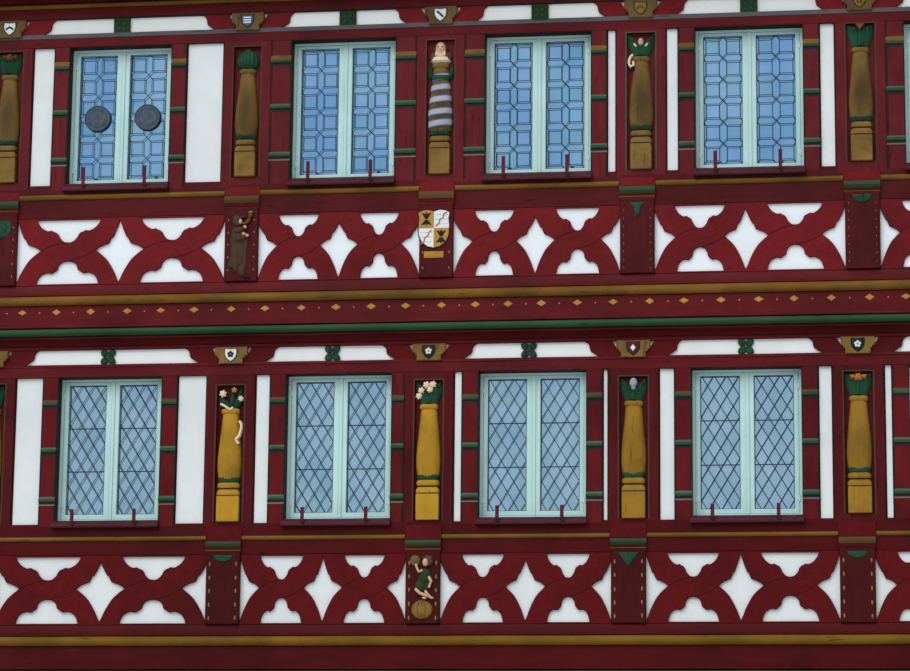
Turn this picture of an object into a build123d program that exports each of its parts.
from build123d import *
import os
from math import cos, pi, radians, sin, tan

os.makedirs("parts", exist_ok=True)

# A half-timbered town house in a row, in millimetres.
# X runs along the street front, the front faces -Y, and Z is up from the street.
# Each storey is drawn in its own frame: y is the depth behind that storey's outer
# timber face, and z is the height above the underside of its moulded band.

# Plan
bay_widths = [1900, 2320, 1862, 1896, 2039, 1900]
house_depth = 8400
wall_thickness = 450
party_thickness = 300
party_proud = 60
jetty = 120
timber = 200

# Heights of the ground storey
ground_wall_height = 3447
floor_rise = 120
door_width = 1250
door_height = 2350
door_bay = 3
shop_sill = 1150
shop_window_height = 1450

# The members of a timber storey, stacked from the underside of its band
plate_height = 109
cord_roll = 76
fillet_height = 29
board_height = 190
sill_roll = 96
sill_height = 104
panel_height = 646
rail_height = 294
opening_height = 1393
head_height = 106
frieze_height = 157

# Timbers across the front
post_width = 460
parapet_post_width = 318
parapet_post_proud = 25
jamb_width = 148
window_width = 1000
narrowest_strip = 55
niche_width = 262
niche_depth = 70

# The white panels and the crosses in front of them
panel_recess = 30
panel_thickness = 110

# Where each window stands to the right of the middle of its bay
window_shifts_first = [8, -6, 88, 14, 8, 3]
window_shifts_second = [-20, -73, -1, -24, -14, -20]

# How far the tall and the parapet posts stand to the right of the even bays
post_shifts_first = [0, -15, -22, -10, -8, -5, 0]
parapet_shifts_first = [0, -67, -50, -43, -55, -36, 0]
post_shifts_second = [0, 71, 88, 84, 76, 62, 0]
parapet_shifts_second = [0, 57, 74, 64, 40, 58, 0]

# Each niche: its foot above the post's and its head below the post's
niches_first = [(12, 55), (12, 55), (12, 97), (12, 76), (12, 70), (42, 55), (12, 55)]
niches_second = [(69, 40), (69, 31), (71, 49), (48, 43), (44, 35), (72, 12), (69, 40)]
pedestal_first = 214
pedestal_second = 196

# Each bay's crosses: how far they meet to the right of its middle, and the height of
# their star in shares of the panel's
crosses_first = [(0, 0.92), (0, 0.9), (0, 0.96), (0, 0.9), (-17, 0.97), (0, 0.9)]
crosses_second = [(0, 0.9), (-13, 0.97), (0, 0.85), (-13, 0.865), (-36, 0.92), (0, 0.9)]

# Windows
frame_recess = 120
frame_depth = 60
frame_bar = 75
meeting_bar = 131
glass_thickness = 6
sill_board_height = 74
sill_board_lip = 35
sill_board_proud = 65
sill_board_extra = 15
shop_recess = 120

# The entrance door
leaf_recess = 140
leaf_depth = 70
leaf_border = 90
field_sink = 18
field_spans = [(0.06, 0.42), (0.46, 0.94)]

# Columns, brackets and consoles
console_width = 308
console_foot = 0.7
console_step = 0.45
console_proud = 55
bracket_length = 300

# Straight braces of the back
brace_width = 130
brace_waist = 0.62
brace_end = 0.6

# Roof
roof_pitch = 48
roof_thickness = 190
eaves_reach = 220
eaves_height = 300
eaves_drip = 70
eaves_board = 60
ridge_radius = 120
ridge_bulge = 0.55

# How far the rolls stand out, in shares of their height, and where coves bend
roll_bulge = 0.45
cove_bend = 0.7
eaves_bend = (0.3, 0.72)

# Worked-out heights of one timber storey
z_roll = plate_height
z_fillet = z_roll + cord_roll
z_board = z_fillet + fillet_height
z_sill_roll = z_board + board_height
z_sill = z_sill_roll + sill_roll
z_panel = z_sill + sill_height
z_rail = z_panel + panel_height
z_open = z_rail + rail_height
z_head = z_open + opening_height
z_frieze = z_head + head_height
storey_height = z_frieze + frieze_height

# Worked-out places along and across the house
inner_width = sum(bay_widths) + post_width
half_width = inner_width / 2 + party_thickness
half_depth = house_depth / 2
first_base = ground_wall_height
second_base = first_base + storey_height
eaves_base = second_base + storey_height
first_face = -half_depth - jetty
second_face = first_face - jetty
slope = tan(radians(roof_pitch))
cavity = 60


def post_places(shifts):
    """Post centres, each moved to the right by its shift."""
    places = [-sum(bay_widths) / 2]
    for width in bay_widths:
        places.append(places[-1] + width)
    return [x + shift for x, shift in zip(places, shifts)]


def bay_middles(posts, shifts):
    """Window centres from the posts each side and a shift for each bay."""
    return [(a + b) / 2 + s for a, b, s in zip(posts, posts[1:], shifts)]


first_posts = post_places(post_shifts_first)
first_parapet = post_places(parapet_shifts_first)
second_posts = post_places(post_shifts_second)
second_parapet = post_places(parapet_shifts_second)
first_windows = bay_middles(first_posts, window_shifts_first)
second_windows = bay_middles(second_posts, window_shifts_second)


def block(x, y, z):
    """A block between pairs of X, Y and Z values."""
    pairs = (x, y, z)
    centre = Pos(*[(low + high) / 2 for low, high in pairs])
    return centre * Box(*[high - low for low, high in pairs])


def about(middle, width):
    """A pair of values that spans a width about its middle."""
    return (middle - width / 2, middle + width / 2)


def along_x(outline, x):
    """Extrude a closed outline, drawn as (y, z), between two X values."""
    face = make_face(Plane.YZ * (Curve() + outline))
    return Pos(x[0], 0, 0) * extrude(face, x[1] - x[0], dir=(1, 0, 0))


def toward_back(outline, y):
    """Extrude a closed outline, drawn as (x, z), between two Y values."""
    face = make_face(Plane.XZ * (Curve() + outline))
    return Pos(0, y[0], 0) * extrude(face, y[1] - y[0], dir=(0, 1, 0))


def group(solids):
    """One node of several solids."""
    return Compound(children=list(solids))


def place(solids, face, base):
    """Move storey pieces to their storey."""
    return [Pos(0, face, base) * solid for solid in solids]


def to_back(solids):
    """The same pieces on the back of the house, in line with the front."""
    return [mirror(solid, about=Plane.XZ) for solid in solids]


def write(name, solids):
    export_step(group(solids), f"parts/{name}.step")


# Moulded bands at the jetties


# The part of a band that the front and the back share, behind its face
band_core = [
    (jetty, 0),
    (jetty + timber, 0),
    (jetty + timber, z_roll),
    (cavity, z_roll),
    (cavity, z_sill_roll),
    (timber, z_sill_roll),
    (timber, z_panel),
    (0, z_panel),
]


def band():
    """Plate with a cove, green roll, board, ochre roll and sill beam."""
    outline = [
        Polyline(*band_core, (0, z_sill)),
        ThreePointArc(
            (0, z_sill), (-sill_roll * roll_bulge, z_sill - sill_roll / 2), (0, z_sill_roll)
        ),
        Line((0, z_sill_roll), (0, z_fillet)),
        ThreePointArc(
            (0, z_fillet), (-cord_roll / 2, z_fillet - cord_roll / 2), (0, z_roll)
        ),
        ThreePointArc((0, z_roll), (jetty * cove_bend, plate_height * cove_bend), (jetty, 0)),
    ]
    return along_x(outline, about(0, inner_width))


def plain_band():
    """The same members at the back, square cut and with no rolls."""
    outline = Polyline(*band_core, (0, z_roll), close=True)
    return along_x(outline, about(0, inner_width))


# Posts, rails and jambs of the front


def parapet_post(x):
    """The lower part of a post, proud of the rail that it is let into."""
    return block(
        about(x, parapet_post_width),
        (-parapet_post_proud, timber),
        (z_panel, z_open - rail_height / 2),
    )


def tall_post(x, niche):
    """The upper part of a post, with a niche for its column."""
    foot, head = niche
    post = block(about(x, post_width), (0, timber), (z_open, z_head))
    return post - block(about(x, niche_width), (-1, niche_depth), (z_open + foot, z_head - head))


def rail(posts):
    """The rail over the parapet, notched where it takes the posts."""
    beam = block(about(0, inner_width), (0, timber), (z_rail, z_open))
    for x in posts:
        beam -= block(
            about(x, parapet_post_width), (-1, timber + 1), (0, z_open - rail_height / 2)
        )
    return beam


def head_beam():
    return block(about(0, inner_width), (0, timber), (z_head, z_frieze))


def window_sides(posts, middles):
    """For each window side: its opening's edge, the jamb's outer edge and the post's."""
    found = []
    for a, b, x in zip(posts, posts[1:], middles):
        for side, post in ((-1, a), (1, b)):
            edge = x + side * window_width / 2
            outer = edge + side * jamb_width
            post_edge = post - side * post_width / 2
            if (post_edge - outer) * side < narrowest_strip:
                outer = post_edge
            found.append((edge, outer, post_edge))
    return found


def jambs(posts, middles):
    """The window posts; one that nearly meets a main post is cut to meet it."""
    return [
        block(sorted((edge, outer)), (0, timber), (z_open, z_head))
        for edge, outer, post_edge in window_sides(posts, middles)
    ]


# Curved crosses of the parapet. A notch is in shares of its mouth's half width, a
# star in shares of its cell's width, and both in shares of the panel's height

cross_foot = 210
cross_edge = 13
notch_shoulder = 0.87
notch_lobe = 0.51
notch_neck = 0.294
shoulder_depth = 0.12
lobe_depth = 0.18
neck_depth = 0.23
tip_depth = 0.34
star_half = 0.24
star_middle = 0.53
star_foot = 0.03
star_waist = 0.083
star_waist_height = 0.3
cusp_side = 0.085
cusp_height = 0.7


def notch(left, right, edge, direction):
    """A lobed white notch that opens toward the rail or the sill."""
    half = [
        (1, 0),
        (notch_shoulder, shoulder_depth),
        (notch_lobe, lobe_depth),
        (notch_neck, neck_depth),
    ]
    shares = half + [(0, tip_depth)] + [(-share, depth) for share, depth in reversed(half)]
    middle, mouth = (left + right) / 2, (right - left) / 2 - cross_foot
    foot, reach = edge + direction * cross_edge, panel_height * direction
    corners = [(middle + mouth * share, foot + reach * depth) for share, depth in shares]
    return Polyline(*corners, close=True)


def star_side(middle, width, side, top):
    """The right or left half of a star, from its top point to its foot."""

    def at(share, height):
        return (middle + side * width * share, z_panel + panel_height * height)

    return [
        Line(at(0, top), at(cusp_side, cusp_height)),
        Line(at(cusp_side, cusp_height), at(star_half, star_middle)),
        ThreePointArc(
            at(star_half, star_middle), at(star_waist, star_waist_height), at(0, star_foot)
        ),
    ]


def half_star(middle, width, side, top):
    """Half of a star, beside a post."""
    low, high = z_panel + panel_height * star_foot, z_panel + panel_height * top
    return star_side(middle, width, side, top) + [Line((middle, low), (middle, high))]


def cross_panel(left, right, cross):
    """Two curved crosses between a pair of posts, as one piece."""
    y = (0, panel_recess)
    deep = (-1, panel_recess + 1)
    shift, top = cross
    middle = (left + right) / 2 + shift
    panel = block((left, right), y, (z_panel, z_rail))
    for low, high in ((left, middle), (middle, right)):
        panel -= toward_back(notch(low, high, z_rail, -1), deep)
        panel -= toward_back(notch(low, high, z_panel, 1), deep)
    whole = star_side(middle, middle - left, -1, top) + star_side(middle, right - middle, 1, top)
    panel -= toward_back(whole, deep)
    panel -= toward_back(half_star(left, middle - left, 1, top), deep)
    panel -= toward_back(half_star(right, right - middle, -1, top), deep)
    return panel


def cross_panels(posts, crosses):
    half_post = parapet_post_width / 2
    return [
        cross_panel(a + half_post, b - half_post, cross)
        for a, b, cross in zip(posts, posts[1:], crosses)
    ]


# White panels


def infill(posts, parapet, middles):
    """White panels behind the crosses, beside the windows and in the frieze."""
    y = (panel_recess, panel_recess + panel_thickness)
    half_post = parapet_post_width / 2
    found = [
        block((a + half_post, b - half_post), y, (z_panel, z_rail))
        for a, b in zip(parapet, parapet[1:])
    ]
    for edge, outer, post_edge in window_sides(posts, middles):
        if outer != post_edge:
            found.append(block(sorted((outer, post_edge)), y, (z_open, z_head)))
    found.append(
        block(about(0, inner_width), (panel_recess, timber), (z_frieze, storey_height))
    )
    return found


# Brackets and consoles of the frieze, in shares of their length and height

bracket_curve = [(0.51, 0.0), (0.62, 0.18), (0.8, 0.38), (0.85, 0.72), (1.0, 1.0)]
bracket_inner = 0.12


def bracket(x, side):
    """An S-curved bracket that springs from a console."""
    start = x + side * console_width / 2

    def at(along, up):
        return (start + side * bracket_length * along, z_frieze + frieze_height * up)

    corners = [at(along, up) for along, up in bracket_curve]
    outline = Polyline(at(0, 0), *corners, at(bracket_inner, 1), at(0, 0.5), close=True)
    return toward_back(outline, (0, panel_recess))


def brackets(posts):
    found = []
    for number, x in enumerate(posts):
        if number > 0:
            found.append(bracket(x, -1))
        if number < len(posts) - 1:
            found.append(bracket(x, 1))
    return found


def console(x):
    """A carved block over a post, narrower at its foot."""
    half, low, high = console_width / 2, z_frieze, storey_height
    foot, step = half * console_foot, frieze_height * console_step
    corners = [
        (x - foot, low),
        (x + foot, low),
        (x + foot, low + step),
        (x + half, low + step),
        (x + half, high),
        (x - half, high),
        (x - half, low + step),
        (x - foot, low + step),
    ]
    outline = Polyline(*corners, close=True)
    return toward_back(outline, (-console_proud, panel_recess))


# Carved columns: radii with heights in shares of the niche's height

pedestal_proud = 30
pedestal_top = 0.185
ring_radius = 104
groove = 94
shaft_belly = 113
shaft_top = 86
neck_ring = 95
cup_foot = 70
cup_top = 118
turning = [
    (groove, pedestal_top),
    (ring_radius, 0.193),
    (ring_radius, 0.227),
    (groove, 0.234),
    (ring_radius, 0.243),
    (ring_radius, 0.282),
    (groove, 0.296),
    (shaft_belly, 0.4),
    (shaft_top, 0.787),
    (neck_ring, 0.797),
    (neck_ring, 0.825),
    (cup_foot, 0.832),
    (cup_top, 1.0),
]
facets = 6


def half_ring(x, radius, z):
    """Corners of the front half of a many-sided ring, from one side to the other."""
    turns = [pi * number / facets for number in range(facets + 1)]
    return [(x + radius * cos(turn), niche_depth - radius * sin(turn), z) for turn in turns]


def flat(*corners):
    return Face(Wire.make_polygon(corners, close=True))


def column(x, niche, pedestal_width):
    """A carved column on its pedestal, with its flat back on the niche's back."""
    rise, head = niche
    foot, height = z_open + rise, opening_height - rise - head
    rings = [half_ring(x, radius, foot + height * share) for radius, share in turning]
    faces = [flat(*rings[0]), flat(*rings[-1])]
    for low, high in zip(rings, rings[1:]):
        for n in range(facets):
            faces.append(flat(low[n], low[n + 1], high[n + 1], high[n]))
    faces.append(flat(*[ring[0] for ring in rings], *[ring[-1] for ring in reversed(rings)]))
    pedestal = block(
        about(x, pedestal_width),
        (-pedestal_proud, niche_depth),
        (foot, foot + height * pedestal_top),
    )
    return pedestal + Solid(Shell(faces))


# Windows


def lights(x, foot, height, double, y):
    """The openings of a window frame, one or two side by side."""
    z = (foot + frame_bar, foot + height - frame_bar)
    clear = window_width - 2 * frame_bar
    if not double:
        return [block(about(x, clear), y, z)]
    light = (clear - meeting_bar) / 2
    return [block(about(x + side * (light + meeting_bar) / 2, light), y, z) for side in (-1, 1)]


def casement(x, foot, height, double, recess):
    """A casement frame with square-cut openings."""
    y = (recess, recess + frame_depth)
    frame = block(about(x, window_width), y, (foot, foot + height))
    for light in lights(x, foot, height, double, (y[0] - 1, y[1] + 1)):
        frame -= light
    return frame


def panes(x, foot, height, double, recess):
    """The glass of one window, let in between its bars."""
    y = about(recess + frame_depth / 2, glass_thickness)
    return lights(x, foot, height, double, y)


def sill_boards(middles):
    """The boards under the windows, each lipped over the face of the rail."""
    top = z_open + sill_board_lip
    found = []
    for x in middles:
        board = block(about(x, window_width), (-1, frame_recess + frame_depth), (z_open, top))
        board += block(
            about(x, window_width + 2 * sill_board_extra),
            (-sill_board_proud, 0),
            (top - sill_board_height, top),
        )
        found.append(board)
    return found


# The plain back: the same storeys with straight braces


def brace_panel(left, right):
    """A plain cross of two straight braces, halved into each other."""
    lean = (right - left) / panel_height
    middle = (left + right) / 2
    y = (0, panel_recess)
    deep = (-1, panel_recess + 1)
    panel = block((left, right), y, (z_panel, z_rail))
    end_z, waist_z = brace_width * brace_end, brace_width * brace_waist
    end_x, waist_x = end_z * lean, waist_z * lean
    waist = z_panel + panel_height / 2
    fields = [
        [(left + end_x, z_rail), (right - end_x, z_rail), (middle, waist + waist_z)],
        [(left + end_x, z_panel), (right - end_x, z_panel), (middle, waist - waist_z)],
        [(left, z_panel + end_z), (left, z_rail - end_z), (middle - waist_x, waist)],
        [(right, z_panel + end_z), (right, z_rail - end_z), (middle + waist_x, waist)],
    ]
    for corners in fields:
        panel -= toward_back(Polyline(*corners, close=True), deep)
    return panel


def plain_post(x):
    return block(about(x, parapet_post_width), (0, timber), (z_panel, z_rail))


def plain_tall_post(x):
    return block(about(x, post_width), (0, timber), (z_open, z_head))


def back_frame(posts, parapet, middles):
    """Posts, rails, jambs and braces of the back, fused where they join."""
    frame = block(about(0, inner_width), (0, timber), (z_rail, z_open))
    frame += head_beam()
    for x in parapet:
        frame += plain_post(x)
    for x in posts:
        frame += plain_tall_post(x)
    for jamb in jambs(posts, middles):
        frame += jamb
    half_post = parapet_post_width / 2
    for a, b in zip(parapet, parapet[1:]):
        frame += brace_panel(a + half_post, b - half_post)
    return frame


# Ground storey


def ground_wall(openings):
    """A masonry wall with its openings cut through."""
    wall = block(
        about(0, inner_width), (-half_depth, wall_thickness - half_depth), (0, ground_wall_height)
    )
    for x, width, foot, height in openings:
        wall -= block(
            about(x, width),
            (-half_depth - 1, wall_thickness - half_depth + 1),
            (foot, foot + height),
        )
    return wall


def shop_openings(middles):
    return [(x, window_width, shop_sill, shop_window_height) for x in middles]


def entrance_door(x):
    """A panelled door in its frame, set back in the wall."""
    y = (-half_depth + leaf_recess, -half_depth + leaf_recess + leaf_depth)
    door = block(about(x, door_width), y, (floor_rise, floor_rise + door_height))
    field_width = (door_width - 3 * leaf_border) / 2
    for side in (-1, 1):
        middle = x + side * (field_width + leaf_border) / 2
        for low, high in field_spans:
            door -= block(
                about(middle, field_width),
                (y[0] - 1, y[0] + field_sink),
                (floor_rise + door_height * low, floor_rise + door_height * high),
            )
    return door


# Party walls, floors and roof


def roof_line(y, base):
    """Height of the roof's underside above a depth y from the house's middle."""
    edge = -second_face + eaves_reach
    return base + eaves_height + (edge - abs(y)) * slope


def party_outline():
    """Half of a party wall's outline, from the street to the ridge."""
    ground = half_depth + party_proud
    first = -first_face + party_proud
    second = -second_face + party_proud
    edge = -second_face + eaves_reach
    return [
        (ground, 0),
        (ground, first_base),
        (first, first_base + z_roll),
        (first, second_base),
        (second, second_base + z_roll),
        (second, eaves_base),
        (edge, eaves_base + eaves_height),
    ]


def party_wall(side):
    half = party_outline()
    corners = half + [(0, roof_line(0, eaves_base))] + [(-y, z) for y, z in reversed(half)]
    x = sorted((side * inner_width / 2, side * half_width))
    return along_x(Polyline(*corners, close=True), x)


def floor_slab(face, base):
    """Joists and boards, from band to band."""
    return block(
        about(0, inner_width), (face + cavity, -face - cavity), (base + z_roll, base + z_sill_roll)
    )


def eaves():
    """The eaves moulding: a roll, a cove and a soffit board under the roof."""
    reach = eaves_reach
    board_foot = eaves_height - eaves_board
    bend_y, bend_z = eaves_bend
    top = eaves_height + (cavity + reach) * slope
    outline = [
        Line((cavity, 0), (0, 0)),
        ThreePointArc((0, 0), (-sill_roll * roll_bulge, sill_roll / 2), (0, sill_roll)),
        ThreePointArc(
            (0, sill_roll),
            (-reach * bend_y, sill_roll + (board_foot - sill_roll) * bend_z),
            (-reach, board_foot),
        ),
        Line((-reach, board_foot), (-reach, eaves_height)),
        Line((-reach, eaves_height), (cavity, top)),
        Line((cavity, top), (cavity, 0)),
    ]
    return along_x(outline, about(0, inner_width))


def roof_slope():
    """The front roof slope, from the drip edge to the ridge."""
    edge = second_face - eaves_reach - eaves_drip
    lift = roof_thickness / cos(radians(roof_pitch))
    corners = [
        (edge, roof_line(edge, eaves_base)),
        (0, roof_line(0, eaves_base)),
        (0, roof_line(0, eaves_base) + lift),
        (edge, roof_line(edge, eaves_base) + lift),
    ]
    return along_x(Polyline(*corners, close=True), (-half_width, half_width))


def ridge():
    """A half-round ridge capping bedded on both slopes."""
    lift = roof_thickness / cos(radians(roof_pitch))
    top = roof_line(0, eaves_base) + lift
    drop = ridge_radius * slope
    outline = [
        Line((0, top), (-ridge_radius, top - drop)),
        ThreePointArc(
            (-ridge_radius, top - drop),
            (0, top + ridge_radius * ridge_bulge),
            (ridge_radius, top - drop),
        ),
        Line((ridge_radius, top - drop), (0, top)),
    ]
    return along_x(outline, (-half_width, half_width))


# Write every node

for side, name in ((-1, "party_wall_left"), (1, "party_wall_right")):
    write(name, [party_wall(side)])

front_shop_windows = [x for n, x in enumerate(first_windows) if n != door_bay]
door_x = first_windows[door_bay]
door_opening = [(door_x, door_width, floor_rise, door_height)]
write("ground_wall_front", [ground_wall(shop_openings(front_shop_windows) + door_opening)])
write("ground_wall_back", to_back([ground_wall(shop_openings(first_windows))]))
write("front_door", [entrance_door(door_x)])


def shop_row(middles, maker):
    recess = shop_recess - half_depth
    return [maker(x, shop_sill, shop_window_height, False, recess) for x in middles]


def shop_glass(middles):
    return [pane for row in shop_row(middles, panes) for pane in row]


write("ground_windows_front", shop_row(front_shop_windows, casement))
write("ground_windows_back", to_back(shop_row(first_windows, casement)))
write("ground_glass_front", shop_glass(front_shop_windows))
write("ground_glass_back", to_back(shop_glass(first_windows)))
inside = half_depth - wall_thickness
write("ground_floor", [block(about(0, inner_width), (-inside, inside), (0, floor_rise))])

first = ("first", first_face, first_base, first_posts, first_parapet, first_windows)
second = ("second", second_face, second_base, second_posts, second_parapet, second_windows)
storeys = [
    (*first, crosses_first, niches_first, pedestal_first),
    (*second, crosses_second, niches_second, pedestal_second),
]
for name, face, base, posts, parapet, middles, crosses, niches, pedestal in storeys:

    def storey_windows(maker, foot, double):
        return [maker(x, foot, z_head - foot, double, frame_recess) for x in middles]

    def storey_glass(foot, double):
        return [pane for row in storey_windows(panes, foot, double) for pane in row]

    sill_top = z_open + sill_board_lip

    write(f"{name}_floor", [floor_slab(face, base)])
    front = {
        "band": [band()],
        "posts": [parapet_post(x) for x in parapet]
        + [tall_post(x, niche) for x, niche in zip(posts, niches)],
        "rails": [rail(parapet), head_beam()],
        "jambs": jambs(posts, middles),
        "crosses": cross_panels(parapet, crosses),
        "infill": infill(posts, parapet, middles),
        "brackets": brackets(posts),
        "consoles": [console(x) for x in posts],
        "columns": [column(x, niche, pedestal) for x, niche in zip(posts, niches)],
        "casements": storey_windows(casement, sill_top, True),
        "glass": storey_glass(sill_top, True),
        "sill_boards": sill_boards(middles),
    }
    for kind, solids in front.items():
        write(f"{name}_{kind}", place(solids, face, base))
    back = {
        "band": [plain_band()],
        "frame": [back_frame(posts, parapet, middles)],
        "infill": infill(posts, parapet, middles),
        "casements": storey_windows(casement, z_open, False),
        "glass": storey_glass(z_open, False),
    }
    for kind, solids in back.items():
        write(f"{name}_back_{kind}", to_back(place(solids, face, base)))

write("attic_floor", [floor_slab(second_face, eaves_base - z_roll)])
front_eaves = place([eaves()], second_face, eaves_base)
write("eaves_front", front_eaves)
write("eaves_back", to_back(front_eaves))
write("roof_front", [roof_slope()])
write("roof_back", to_back([roof_slope()]))
write("ridge", [ridge()])
